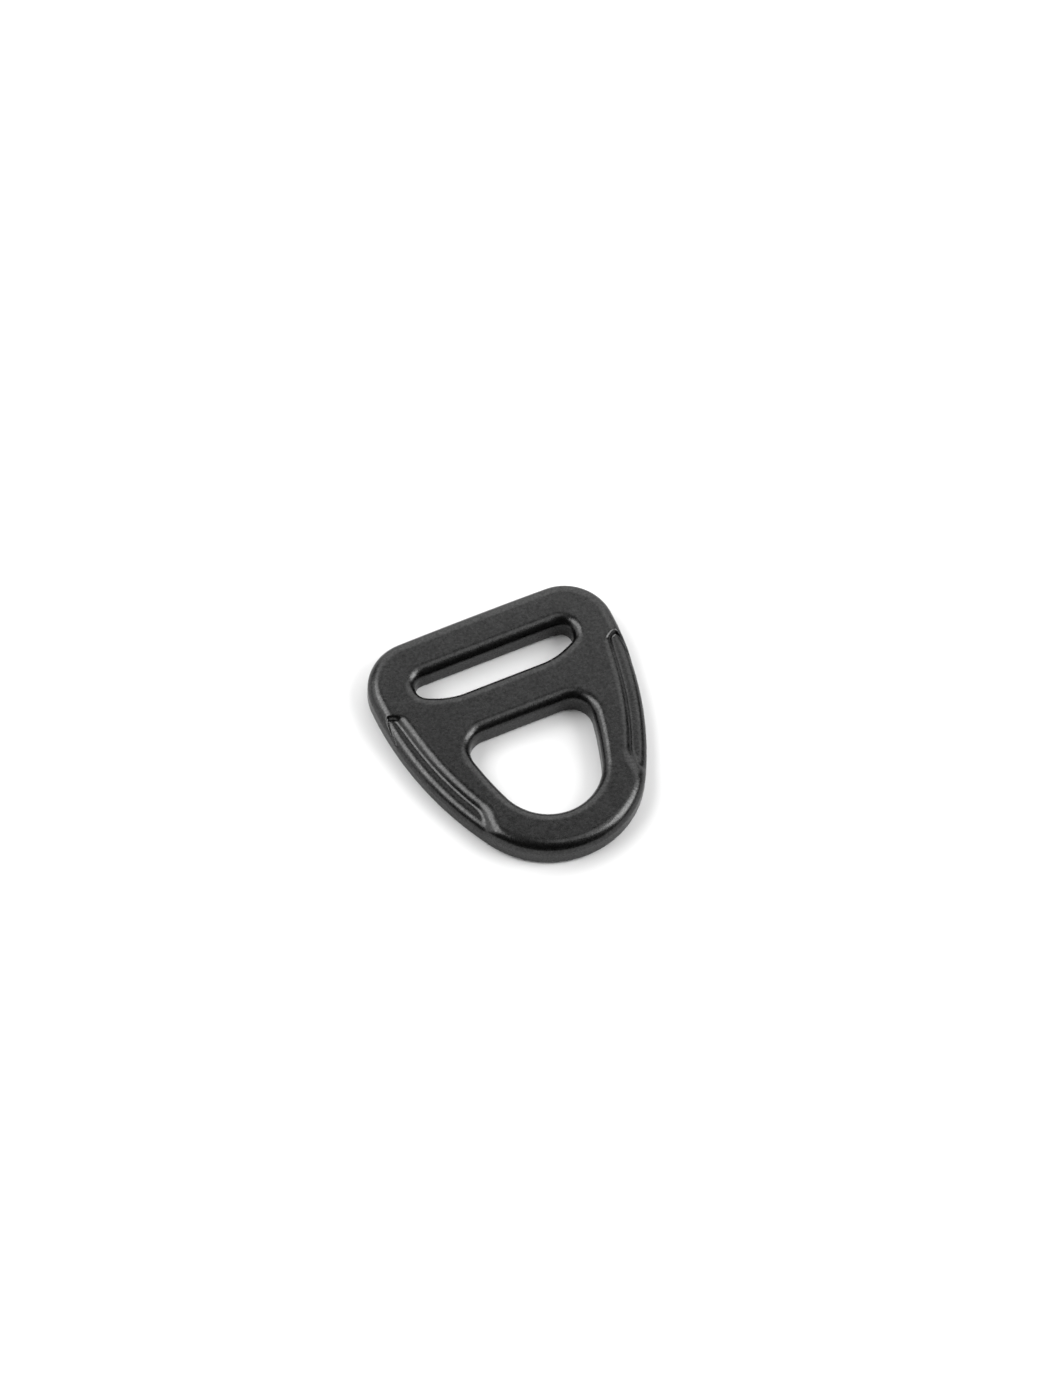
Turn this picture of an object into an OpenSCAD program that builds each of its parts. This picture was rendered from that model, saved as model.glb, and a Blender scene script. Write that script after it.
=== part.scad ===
// Webbing slider ring: one cast metal plate with a long webbing slot, a D-shaped
// window and a stepped ledge along each flank.
// Frame: +Z up, the plate lies on z = 0, x along the slot, +y towards the slot edge,
// origin under the centre of the plate's bounding box.

/* [Plate] */
// overall length from the slot edge to the nose
body_l = 44.6; // [44:0.1:46]
// plate thickness
body_t = 5; // [4.6:0.1:5.4]
// half distance between the two corner centres
corner_x = 12.8; // [12.4:0.1:13.2]
// outer radius of the two corners beside the slot
corner_r = 8.1; // [7.8:0.1:8.4]
// outer radius of the nose
nose_r = 15.6; // [15:0.1:16]
// radius of the long flank curves
flank_r = 56; // [54:1:60]
// radius of the nearly straight slot edge
top_edge_r = 900; // [700:50:1200]
// rounding of the upper outer edge
edge_r = 2; // [1.6:0.1:2.2]
// rounding of the lower outer edge
base_r = 0.8; // [0.4:0.1:1.2]

/* [Webbing slot] */
// y of the slot's side nearest the outer edge
slot_top_y = 15.3; // [15.1:0.1:15.5]
// y of the slot's side nearest the window
slot_low_y = 10; // [9.8:0.1:10.2]
// half distance between the outer corner centres of the slot
slot_top_x = 11.6; // [11.4:0.1:11.8]
// corner radius on the slot's outer side
slot_top_r = 2; // [1.8:0.1:2.2]
// half length of the straight part of the slot's inner side
slot_low_x = 6.6; // [6.4:0.1:6.8]
// radius that sweeps the slot's inner side up towards its ends
slot_low_r = 11.8; // [11.4:0.2:12.2]

/* [Window] */
// y of the window's straight side
win_top_y = 2.4; // [2.2:0.1:2.6]
// half distance between the window's corner centres
win_x = 6.9; // [6.7:0.1:7.1]
// radius of the window's two upper corners
win_r = 3.5; // [3.3:0.1:3.7]
// radius of the window's nose end
win_nose_r = 8.7; // [8.5:0.1:8.9]
// radius of the window's long sides
win_side_r = 53; // [51:1:55]
// rounding of the upper lip of both openings
lip_r = 1.7; // [1.5:0.1:1.9]
// rounding of the lower lip of both openings
lip_low_r = 0.8; // [0.5:0.1:1]

/* [Flank ledges] */
// how far the ledge lies below the upper face
ledge_h = 0.95; // [0.8:0.05:1.1]
// distance from the outer edge to the top of the ledge's inner slope
ledge_w = 4.05; // [3.9:0.05:4.4]
// radius of the inner slope's convex shoulder
ledge_slope_r = 1.8; // [1.5:0.1:2.1]
// radius of the hollow where the inner slope meets the ledge
ledge_foot_r = 0.8; // [0.5:0.1:1]
// rounding of the ledge's own outer edge
ledge_edge_r = 1.6; // [1.2:0.1:1.8]
// y where the ledge starts, towards the slot edge
ledge_top_y = 10.9; // [10.5:0.1:11.3]
// y where the ledge's sloped end towards the nose meets its inner side
ledge_low_y = -10.7; // [-11.2:0.1:-10.2]
// rounding in plan between the ledge's inner side and its end towards the slot
ledge_end_r = 2.4; // [1.5:0.1:3]
// how much narrower the ledge gets at its end towards the slot
ledge_taper = 0.8; // [0.5:0.1:1]

/* [Hidden] */
finish = [0.13, 0.13, 0.14];
// outer corner and nose centres
top_bulge = (top_edge_r - corner_r) - sqrt(pow(top_edge_r - corner_r, 2) - corner_x*corner_x);
corner_y = body_l/2 - corner_r - top_bulge;
nose_y = -body_l/2 + nose_r;
// the inner slope is a convex arc that turns into a hollow one at its steepest place
steep = acos(1 - ledge_h/(ledge_slope_r + ledge_foot_r));
shoulder_run = ledge_slope_r*sin(steep);
slope_run = shoulder_run + ledge_foot_r*sin(steep);
// rings of the upper surface, as distances inward from the outer edge
top_rings = concat([for (a = [0:18:90]) edge_r*(1 - cos(a))],
                   [for (i = [1:10]) edge_r + (ledge_w - edge_r)*i/10]);
base_rings = [0, 30, 60, 90];

// centre of the arc of radius s that touches both circle a (radius ra) and circle b
// (radius rb) from outside, on the side away from the plate's right flank
function tangent_centre(a, ra, b, rb, s) =
    let (p = s - ra, q = s - rb, v = b - a, l = norm(v), e = v/l,
         x = (p*p - q*q + l*l)/(2*l), h = sqrt(p*p - x*x))
    a + e*x + [e[1], -e[0]]*h;
function angle_of(v) = atan2(v[1], v[0]);

// a closed outline of touching arcs: [centre x, centre y, radius, normal angle]
function arc_run(c, r, a0, a1, n) =
    [for (i = [0:n - 1]) [c[0], c[1], r, a0 + (a1 - a0)*i/n]];
function ring_outline(cx, cy, cr, ny, nr, sr, tr, n) =
    let (c = [cx, cy], o = [0, ny],
         s = tangent_centre(c, cr, o, nr, sr),
         a1 = angle_of(c - s), a2 = angle_of(o - s),
         ty = cy - sqrt(pow(tr - cr, 2) - cx*cx),
         at = angle_of([cx, cy - ty]))
    concat(arc_run([0, ty], tr, at, 180 - at, n[0]),
           arc_run([-cx, cy], cr, 180 - at, 180 - a1, n[1]),
           arc_run([-s[0], s[1]], sr, 180 - a1, 180 - a2, n[2]),
           arc_run(o, nr, 180 - a2, 360 + a2, n[3]),
           arc_run(s, sr, 360 + a2, 360 + a1, n[2]),
           arc_run(c, cr, 360 + a1, 360 + at, n[1]));
function slot_outline(n) =
    let (a = [slot_top_x, slot_top_y - slot_top_r], b = [slot_low_x, slot_low_y + slot_low_r],
         v = a - b, f = angle_of(v) - acos((slot_low_r - slot_top_r)/norm(v)))
    concat(arc_run(b, slot_low_r, -90, f, n), arc_run(a, slot_top_r, f, 90, n),
           arc_run([-a[0], a[1]], slot_top_r, 90, 180 - f, n),
           arc_run([-b[0], b[1]], slot_low_r, 180 - f, 270, n),
           [[b[0], b[1], slot_low_r, 270]]);
function spot(k, inset) = [k[0] + (k[2] - inset)*cos(k[3]), k[1] + (k[2] - inset)*sin(k[3])];

// smallest of two, with a rounded join
function soft_min(a, b, k) = let (h = max(k - abs(a - b), 0)/k) min(a, b) - h*h*k/4;
// smallest of two, with a corner of radius r between them
function round_min(a, b, r) = a < r && b < r ? r - norm([r - a, r - b]) : min(a, b);
// how far the inner slope has dropped at a run q down from its top
function slope_drop(q) =
    q <= 0 ? 0 : q >= slope_run ? ledge_h
    : q < shoulder_run ? ledge_slope_r - sqrt(pow(ledge_slope_r, 2) - q*q)
    : ledge_h - ledge_foot_r + sqrt(pow(ledge_foot_r, 2) - pow(slope_run - q, 2));
// share of the ledge's full drop at a place d inward from the outer edge: a steep rounded
// end towards the slot, fading out at the outer edge, and a slanted end towards the nose
function drop(k, d) =
    let (y = k[1] + (k[2] - d)*sin(k[3]),
         near = min(d/1.1, 1),
         side = ledge_w - d - ledge_taper*exp(-max(ledge_top_y - y, 0)/2),
         up = (ledge_top_y - y - 0.27*max(d - 0.9, 0) - 1.4*pow(1 - near, 2))*(0.35 + 1.75*near*near),
         low = (y - ledge_low_y)*0.5 + (ledge_w - d)*0.87,
         shut = (y - ledge_low_y + 4.6)*0.9)
    slope_drop(soft_min(round_min(side, up, ledge_end_r), soft_min(low, shut, 1), 0.6))/ledge_h;
function fillet_z(top, r, d) = d >= r ? top : top - r + sqrt(r*r - pow(r - d, 2));
function top_z(k, d) = let (w = drop(k, d))
    (1 - w)*fillet_z(body_t, edge_r, d) + w*fillet_z(body_t - ledge_h, ledge_edge_r, d);

// joins equal rings of points, low to high, into one closed solid
module ring_solid(rings) {
    n = len(rings[0]);
    m = len(rings);
    polyhedron(points = [for (r = rings) for (p = r) p],
        faces = concat([[for (i = [0:n - 1]) i]],
            [for (j = [0:m - 2]) for (i = [0:n - 1])
                [j*n + i, (j + 1)*n + i, (j + 1)*n + (i + 1) % n]],
            [for (j = [0:m - 2]) for (i = [0:n - 1])
                [j*n + i, (j + 1)*n + (i + 1) % n, j*n + (i + 1) % n]],
            [[for (i = [n - 1:-1:0]) (m - 1)*n + i]]));
}

// the plate before its openings are cut
module plate() {
    o = ring_outline(corner_x, corner_y, corner_r, nose_y, nose_r, flank_r, top_edge_r, [4, 8, 72, 20]);
    ring_solid(concat(
        [for (a = base_rings) [for (k = o) let (p = spot(k, base_r*(1 - sin(a))))
            [p[0], p[1], base_r*(1 - cos(a))]]],
        [for (d = top_rings) [for (k = o) let (p = spot(k, d)) [p[0], p[1], top_z(k, d)]]]));
}

// an opening, flared at both lips
module opening(o) {
    ring_solid(concat(
        [[for (k = o) let (p = spot(k, -lip_low_r)) [p[0], p[1], -1]]],
        [for (a = [0:30:90]) [for (k = o) let (p = spot(k, -lip_low_r*(1 - sin(a))))
            [p[0], p[1], lip_low_r*(1 - cos(a))]]],
        [for (a = [0:22.5:90]) [for (k = o) let (p = spot(k, -lip_r*(1 - cos(a))))
            [p[0], p[1], body_t - lip_r + lip_r*sin(a)]]],
        [[for (k = o) let (p = spot(k, -lip_r)) [p[0], p[1], body_t + 1]]]));
}

module slider_body() {
    color(finish) difference() {
        plate();
        opening(slot_outline(6));
        opening(ring_outline(win_x, win_top_y - win_r, win_r, nose_y, win_nose_r, win_side_r, 4000, [2, 8, 8, 14]));
    }
}

slider_body();
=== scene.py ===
import math

import bmesh
import bpy
import numpy as np
from mathutils import Matrix, Vector


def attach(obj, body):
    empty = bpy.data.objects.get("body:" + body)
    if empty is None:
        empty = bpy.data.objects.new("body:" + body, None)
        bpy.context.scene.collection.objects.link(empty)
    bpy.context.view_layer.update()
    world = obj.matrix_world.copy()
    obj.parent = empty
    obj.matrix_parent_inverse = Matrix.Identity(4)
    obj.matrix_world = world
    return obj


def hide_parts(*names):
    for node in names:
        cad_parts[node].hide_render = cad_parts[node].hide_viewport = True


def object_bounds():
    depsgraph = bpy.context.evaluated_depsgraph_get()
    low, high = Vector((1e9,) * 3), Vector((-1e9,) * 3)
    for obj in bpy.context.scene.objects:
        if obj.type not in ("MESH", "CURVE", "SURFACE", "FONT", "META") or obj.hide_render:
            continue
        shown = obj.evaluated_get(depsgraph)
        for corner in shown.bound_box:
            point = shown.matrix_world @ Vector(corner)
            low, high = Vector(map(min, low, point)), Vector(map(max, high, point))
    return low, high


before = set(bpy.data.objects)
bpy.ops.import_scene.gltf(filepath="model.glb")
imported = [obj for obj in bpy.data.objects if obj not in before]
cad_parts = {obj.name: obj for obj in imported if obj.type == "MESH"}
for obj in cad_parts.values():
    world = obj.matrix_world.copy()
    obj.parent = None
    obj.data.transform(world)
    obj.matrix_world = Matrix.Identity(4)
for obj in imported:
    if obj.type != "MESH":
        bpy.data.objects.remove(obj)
cad_box = [[float(v) for v in corner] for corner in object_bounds()]

MM = 0.001
LO, HI = cad_box

# ---------------------------------------------------------------- the plate's form, in millimetres
# The same design values as the CAD part; the frame's own box sets length and thickness.
BODY_L = (HI[1] - LO[1]) / MM
BODY_T = (HI[2] - LO[2]) / MM
MID_Y = (HI[1] + LO[1]) / 2 / MM
CORNER_X, CORNER_R = 12.8, 8.1
NOSE_R, FLANK_R, TOP_EDGE_R = 15.6, 56.0, 900.0
EDGE_R, BASE_R = 2.0, 0.8
SLOT_TOP_Y, SLOT_LOW_Y = 15.3, 10.0
SLOT_TOP_X, SLOT_TOP_R = 11.6, 2.0
SLOT_LOW_X, SLOT_LOW_R = 6.6, 11.8
WIN_TOP_Y, WIN_X, WIN_R, WIN_NOSE_R, WIN_SIDE_R = 2.4, 6.9, 3.5, 8.7, 53.0
LIP_R, LIP_LOW_R = 1.7, 0.8
LEDGE_H, LEDGE_W, LEDGE_SLOPE_R, LEDGE_FOOT_R, LEDGE_EDGE_R = 0.95, 4.05, 1.8, 0.8, 1.6
LEDGE_TOP_Y, LEDGE_LOW_Y, LEDGE_END_R, LEDGE_TAPER = 10.9, -10.7, 2.4, 0.8


def tangent_centre(a, ra, b, rb, s):
    """Centre of the arc of radius s that touches circles a and b from outside, on the right flank."""
    p, q = s - ra, s - rb
    v = np.subtract(b, a)
    length = math.hypot(*v)
    e = v / length
    x = (p * p - q * q + length * length) / (2 * length)
    h = math.sqrt(p * p - x * x)
    return np.asarray(a) + e * x + np.array([e[1], -e[0]]) * h


def run(centre, r, a0, a1, n):
    """n points of one arc, each as centre x, centre y, radius, normal angle; the last end is left to the next arc."""
    t = np.linspace(a0, a1, n, endpoint=False)
    return np.c_[np.full(n, centre[0]), np.full(n, centre[1]), np.full(n, r), t]


def ring_outline(cx, cy, cr, ny, nr, sr, tr, n):
    c, o = np.array([cx, cy]), np.array([0.0, ny])
    s = tangent_centre(c, cr, o, nr, sr)
    a1 = math.atan2(*(c - s)[::-1])
    a2 = math.atan2(*(o - s)[::-1])
    ty = cy - math.sqrt((tr - cr) ** 2 - cx * cx)
    at = math.atan2(cy - ty, cx)
    pi = math.pi
    return np.concatenate([
        run((0, ty), tr, at, pi - at, n[0]),
        run((-cx, cy), cr, pi - at, pi - a1, n[1]),
        run((-s[0], s[1]), sr, pi - a1, pi - a2, n[2]),
        run(o, nr, pi - a2, 2 * pi + a2, n[3]),
        run(s, sr, 2 * pi + a2, 2 * pi + a1, n[2]),
        run(c, cr, 2 * pi + a1, 2 * pi + at, n[1]),
    ])


def slot_outline(n, n_end, n_long):
    a = np.array([SLOT_TOP_X, SLOT_TOP_Y - SLOT_TOP_R])
    b = np.array([SLOT_LOW_X, SLOT_LOW_Y + SLOT_LOW_R])
    v = a - b
    f = math.atan2(v[1], v[0]) - math.acos((SLOT_LOW_R - SLOT_TOP_R) / math.hypot(*v))
    pi = math.pi

    def line(c0, r0, c1, r1, ang, m):
        """Points along the straight side between two arcs that share one normal."""
        t = np.linspace(0, 1, m, endpoint=False)[1:]
        return np.c_[c0[0] + (c1[0] - c0[0]) * t, c0[1] + (c1[1] - c0[1]) * t, r0 + (r1 - r0) * t, np.full(len(t), ang)]

    a_, b_ = a * [-1, 1], b * [-1, 1]
    return np.concatenate([
        run(b, SLOT_LOW_R, -pi / 2, f, n), [[b[0], b[1], SLOT_LOW_R, f]], line(b, SLOT_LOW_R, a, SLOT_TOP_R, f, n_end),
        run(a, SLOT_TOP_R, f, pi / 2, n), [[a[0], a[1], SLOT_TOP_R, pi / 2]], line(a, SLOT_TOP_R, a_, SLOT_TOP_R, pi / 2, n_long),
        run(a_, SLOT_TOP_R, pi / 2, pi - f, n), [[a_[0], a_[1], SLOT_TOP_R, pi - f]], line(a_, SLOT_TOP_R, b_, SLOT_LOW_R, pi - f, n_end),
        run(b_, SLOT_LOW_R, pi - f, 1.5 * pi, n), [[b_[0], b_[1], SLOT_LOW_R, 1.5 * pi]], line(b_, SLOT_LOW_R, b, SLOT_LOW_R, 1.5 * pi, n_long),
    ])


def at_inset(o, d):
    r = o[:, 2] - d
    return np.c_[o[:, 0] + r * np.cos(o[:, 3]), o[:, 1] + r * np.sin(o[:, 3])]


def soft_min(a, b, k):
    h = np.maximum(k - np.abs(a - b), 0) / k
    return np.minimum(a, b) - h * h * k / 4


def round_min(a, b, r):
    """Smallest of two distances, with the corner between them rounded to radius r."""
    return np.where((a < r) & (b < r), r - np.hypot(r - a, r - b), np.minimum(a, b))


def slope_drop(q):
    """Drop of the ledge's inner slope at a run q from its top: a convex arc, then a hollow one."""
    steep = math.acos(1 - LEDGE_H / (LEDGE_SLOPE_R + LEDGE_FOOT_R))
    first = LEDGE_SLOPE_R * math.sin(steep)
    last = first + LEDGE_FOOT_R * math.sin(steep)
    q = np.clip(q, 0, last)
    convex = LEDGE_SLOPE_R - np.sqrt(LEDGE_SLOPE_R ** 2 - np.minimum(q, first) ** 2)
    hollow = LEDGE_H - LEDGE_FOOT_R + np.sqrt(np.maximum(LEDGE_FOOT_R ** 2 - (last - q) ** 2, 0))
    return np.where(q < first, convex, hollow)


def drop(o, d):
    """Share of the ledge's full drop at inset d: 0 on the upper face, 1 on the ledge's floor."""
    y = o[:, 1] + (o[:, 2] - d) * np.sin(o[:, 3])
    near = min(d / 1.1, 1)
    side = LEDGE_W - d - LEDGE_TAPER * np.exp(-np.maximum(LEDGE_TOP_Y - y, 0) / 2)
    up = (LEDGE_TOP_Y - y - 0.27 * max(d - 0.9, 0) - 1.4 * (1 - near) ** 2) * (0.35 + 1.75 * near ** 2)
    low = (y - LEDGE_LOW_Y) * 0.5 + (LEDGE_W - d) * 0.87
    shut = (y - LEDGE_LOW_Y + 4.6) * 0.9
    return slope_drop(soft_min(round_min(side, up, LEDGE_END_R), soft_min(low, shut, 1.0), 0.6)) / LEDGE_H


def fillet_z(top, r, d):
    return top if d >= r else top - r + math.sqrt(max(r * r - (r - d) ** 2, 0))


def top_z(o, d):
    w = drop(o, d)
    return (1 - w) * fillet_z(BODY_T, EDGE_R, d) + w * fillet_z(BODY_T - LEDGE_H, LEDGE_EDGE_R, d)


def rings_mesh(bm, rings, closed_low=False):
    """Quads between rings of equal length, low to high; returns the first and the last ring's vertices."""
    rows = [[bm.verts.new(Vector(p) * MM) for p in ring] for ring in rings]
    n = len(rows[0])
    for low, high in zip(rows, rows[1:]):
        for i in range(n):
            j = (i + 1) % n
            bm.faces.new((low[i], low[j], high[j], high[i]))
    return rows[0], rows[-1]


def with_z(xy, z):
    z = np.full(len(xy), z) if np.isscalar(z) else z
    return np.c_[xy[:, 0], xy[:, 1] + MID_Y, z]


def build_body():
    corner_bulge = (TOP_EDGE_R - CORNER_R) - math.sqrt((TOP_EDGE_R - CORNER_R) ** 2 - CORNER_X ** 2)
    corner_y = BODY_L / 2 - CORNER_R - corner_bulge
    nose_y = -BODY_L / 2 + NOSE_R
    outer = ring_outline(CORNER_X, corner_y, CORNER_R, nose_y, NOSE_R, FLANK_R, TOP_EDGE_R, [40, 56, 260, 110])
    slot = slot_outline(20, 10, 44)
    win = ring_outline(WIN_X, WIN_TOP_Y - WIN_R, WIN_R, nose_y, WIN_NOSE_R, WIN_SIDE_R, 4000.0, [26, 34, 40, 80])
    bm = bmesh.new()
    # outer band: underside fillet, wall, upper fillet, ledge, a little of the flat face
    base = [with_z(at_inset(outer, BASE_R * (1 - math.sin(a))), BASE_R * (1 - math.cos(a))) for a in np.linspace(0, math.pi / 2, 9)]
    base.insert(0, with_z(at_inset(outer, BASE_R + 0.25), 0.0))
    rim = [EDGE_R * (1 - math.cos(a)) for a in np.linspace(0, math.pi / 2, 25)]
    shelf = list(np.arange(EDGE_R + 0.08, LEDGE_W + 0.3, 0.08))
    foot = with_z(at_inset(outer, 0.0), top_z(outer, 0.0))
    wall = []
    for f in (0.25, 0.5, 0.75):
        low = base[-1].copy()
        low[:, 2] = low[:, 2] * (1 - f) + foot[:, 2] * f
        wall.append(low)
    top = [with_z(at_inset(outer, d), top_z(outer, d)) for d in rim + shelf]
    outer_low, outer_high = rings_mesh(bm, base + wall + top)
    lows, highs = [outer_low], [outer_high]
    # the two openings, inside walls facing their middle
    for o in (slot, win):
        rows = [with_z(at_inset(o, -LIP_LOW_R - 0.25), 0.0)]
        rows += [with_z(at_inset(o, -LIP_LOW_R * (1 - math.sin(a))), LIP_LOW_R * (1 - math.cos(a))) for a in np.linspace(0, math.pi / 2, 9)]
        rows += [with_z(at_inset(o, 0.0), LIP_LOW_R + (BODY_T - LIP_R - LIP_LOW_R) * f) for f in (0.33, 0.67)]
        rows += [with_z(at_inset(o, -LIP_R * (1 - math.cos(a))), BODY_T - LIP_R + LIP_R * math.sin(a)) for a in np.linspace(0, math.pi / 2, 15)]
        rows += [with_z(at_inset(o, -LIP_R - 0.25), BODY_T)]
        rows = [r[::-1] for r in rows]
        low, high = rings_mesh(bm, rows)
        lows.append(low)
        highs.append(high)
    for loops in (lows, highs):
        edges = []
        for loop in loops:
            for i in range(len(loop)):
                edges.append(bm.edges.get((loop[i], loop[(i + 1) % len(loop)])))
        bmesh.ops.triangle_fill(bm, use_beauty=True, use_dissolve=False, edges=edges)
    bmesh.ops.recalc_face_normals(bm, faces=bm.faces)
    for f in bm.faces:
        f.smooth = True
    mesh = bpy.data.meshes.new("slider_body_form")
    bm.to_mesh(mesh)
    bm.free()
    obj = bpy.data.objects.new("slider_body_form", mesh)
    bpy.context.scene.collection.objects.link(obj)
    return obj


# ---------------------------------------------------------------- materials
CLOUD_LO, CLOUD_HI = 0.041, 0.047          # mirror tone of the coating
GRAIN_LO, GRAIN_HI = 0.72, 1.28            # how far the grain lightens and darkens it
ROUGH_LO, ROUGH_HI = 0.24, 0.32
BUMP_HEIGHT = 0.000012                     # metres
def node(nt, kind, **inputs):
    n = nt.nodes.new(kind)
    for k, v in inputs.items():
        n.inputs[k].default_value = v
    return n


def black_coat():
    """Thin black coating over blasted metal: dark mirror tone, weak at grazing angles, mottled by the grain."""
    m = bpy.data.materials.new("black_coated_metal")
    m.use_nodes = True
    nt = m.node_tree
    nt.nodes.clear()
    out = nt.nodes.new("ShaderNodeOutputMaterial")
    b = nt.nodes.new("ShaderNodeBsdfPrincipled")
    nt.links.new(b.outputs[0], out.inputs[0])
    b.inputs["Metallic"].default_value = 1.0
    b.inputs["Specular Tint"].default_value = (0.82, 0.82, 0.82, 1)
    coord = nt.nodes.new("ShaderNodeTexCoord")

    def noise(scale, detail, rough, lo, hi, to_lo, to_hi):
        n = node(nt, "ShaderNodeTexNoise", Scale=scale, Detail=detail, Roughness=rough)
        nt.links.new(coord.outputs["Object"], n.inputs["Vector"])
        r = node(nt, "ShaderNodeMapRange")
        for key, v in (("From Min", lo), ("From Max", hi), ("To Min", to_lo), ("To Max", to_hi)):
            r.inputs[key].default_value = v
        nt.links.new(n.outputs["Fac"], r.inputs["Value"])
        return n.outputs["Fac"], r.outputs["Result"]

    def times(a, c):
        n = nt.nodes.new("ShaderNodeMath")
        n.operation = "MULTIPLY"
        nt.links.new(a, n.inputs[0])
        nt.links.new(c, n.inputs[1])
        return n.outputs[0]

    # tone: a soft cloud over a few millimetres and the blasted grain; a third noise sets roughness and bump
    cloud = noise(300.0, 2.0, 0.5, 0.3, 0.7, CLOUD_LO, CLOUD_HI)[1]
    mottle = noise(2500.0, 2.0, 0.6, 0.3, 0.7, GRAIN_LO, GRAIN_HI)[1]
    tone = times(cloud, mottle)
    nt.links.new(tone, b.inputs["Base Color"])
    height, gloss = noise(1900.0, 2.5, 0.65, 0.3, 0.7, ROUGH_LO, ROUGH_HI)
    nt.links.new(gloss, b.inputs["Roughness"])
    bump = nt.nodes.new("ShaderNodeBump")
    bump.inputs["Strength"].default_value = 1.0
    bump.inputs["Distance"].default_value = BUMP_HEIGHT
    nt.links.new(height, bump.inputs["Height"])
    nt.links.new(bump.outputs[0], b.inputs["Normal"])
    return m


def floor_material():
    m = bpy.data.materials.new("pale_table")
    m.use_nodes = True
    b = m.node_tree.nodes["Principled BSDF"]
    b.inputs["Base Color"].default_value = (0.72, 0.72, 0.72, 1)
    b.inputs["Roughness"].default_value = 0.9
    b.inputs["Specular IOR Level"].default_value = 0.2
    return m


body = build_body()
body.data.materials.append(black_coat())
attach(body, "root")
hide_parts("slider_body")

# ---------------------------------------------------------------- stage
half = 6.0
fm = bpy.data.meshes.new("table")
fm.from_pydata([(-half, -half, 0), (half, -half, 0), (half, half, 0), (-half, half, 0)], [], [(0, 1, 2, 3)])
floor = bpy.data.objects.new("table", fm)
floor.location = (0, 0, LO[2] - 0.00002)
fm.materials.append(floor_material())
bpy.context.scene.collection.objects.link(floor)

# ---------------------------------------------------------------- camera, at the object's front left, looking down
AZ, EL, ROLL = math.radians(-28.6), math.radians(62.0), math.radians(-4.5)
DIST, SCALE, TX, TY = 0.780, 6.32, 0.88, -6.82   # metres, pixels per millimetre at the object, millimetres
back = Vector((math.sin(AZ) * math.cos(EL), -math.cos(AZ) * math.cos(EL), math.sin(EL)))
right = Vector((math.cos(AZ), math.sin(AZ), 0))
up = back.cross(right)
r2 = right * math.cos(ROLL) - up * math.sin(ROLL)
u2 = right * math.sin(ROLL) + up * math.cos(ROLL)
cam_data = bpy.data.cameras.new("camera")
cam = bpy.data.objects.new("camera", cam_data)
bpy.context.scene.collection.objects.link(cam)
rot = Matrix((r2, u2, back)).transposed()
cam.matrix_world = Matrix.Translation(back * DIST - r2 * TX * MM - u2 * TY * MM) @ rot.to_4x4()
cam_data.sensor_fit = "AUTO"
cam_data.sensor_width = 36.0
cam_data.lens = SCALE * DIST * 1000 / 1395 * 36.0
cam_data.clip_start = 0.01
cam_data.clip_end = 50
bpy.context.scene.camera = cam


# ---------------------------------------------------------------- lights
def soft_light(name, az, el, dist, size_x, size_y, power, target=(0, 0, 0)):
    """Area light seen from the origin at azimuth az (from +Y, clockwise) and elevation el, in degrees."""
    a, e = math.radians(az), math.radians(el)
    pos = Vector((math.sin(a) * math.cos(e), math.cos(a) * math.cos(e), math.sin(e))) * dist
    d = bpy.data.lights.new(name, "AREA")
    d.shape = "RECTANGLE"
    d.size, d.size_y, d.energy = size_x, size_y, power
    o = bpy.data.objects.new(name, d)
    o.location = pos
    o.rotation_euler = (Vector(target) - pos).to_track_quat("-Z", "Y").to_euler()
    o.visible_camera = False
    bpy.context.scene.collection.objects.link(o)
    return o


CAM_AZ = -math.degrees(AZ)         # the camera looks along this azimuth, so behind it is +180
soft_light("back_panel", CAM_AZ, 31.6, 1.1, 2.0, 1.25, 16.0)
soft_light("left_box", CAM_AZ - 90, 52, 1.2, 1.10, 0.62, 12.0)
soft_light("left_wall", CAM_AZ - 84, 24, 1.3, 1.3, 0.9, 6.0)
soft_light("right_box", CAM_AZ + 89, 40, 1.2, 0.62, 0.85, 14.0)
soft_light("high_right", CAM_AZ + 84, 76, 1.2, 0.65, 0.50, 1.8)

world = bpy.data.worlds.new("room")
bpy.context.scene.world = world
world.use_nodes = True
world.node_tree.nodes["Background"].inputs[0].default_value = (1.0, 1.0, 1.0, 1)
world.node_tree.nodes["Background"].inputs[1].default_value = 0.04

bpy.context.scene.view_settings.view_transform = "Standard"
bpy.context.scene.view_settings.look = "None"
bpy.context.scene.view_settings.exposure = 0.0
bpy.context.scene.view_settings.gamma = 1.0
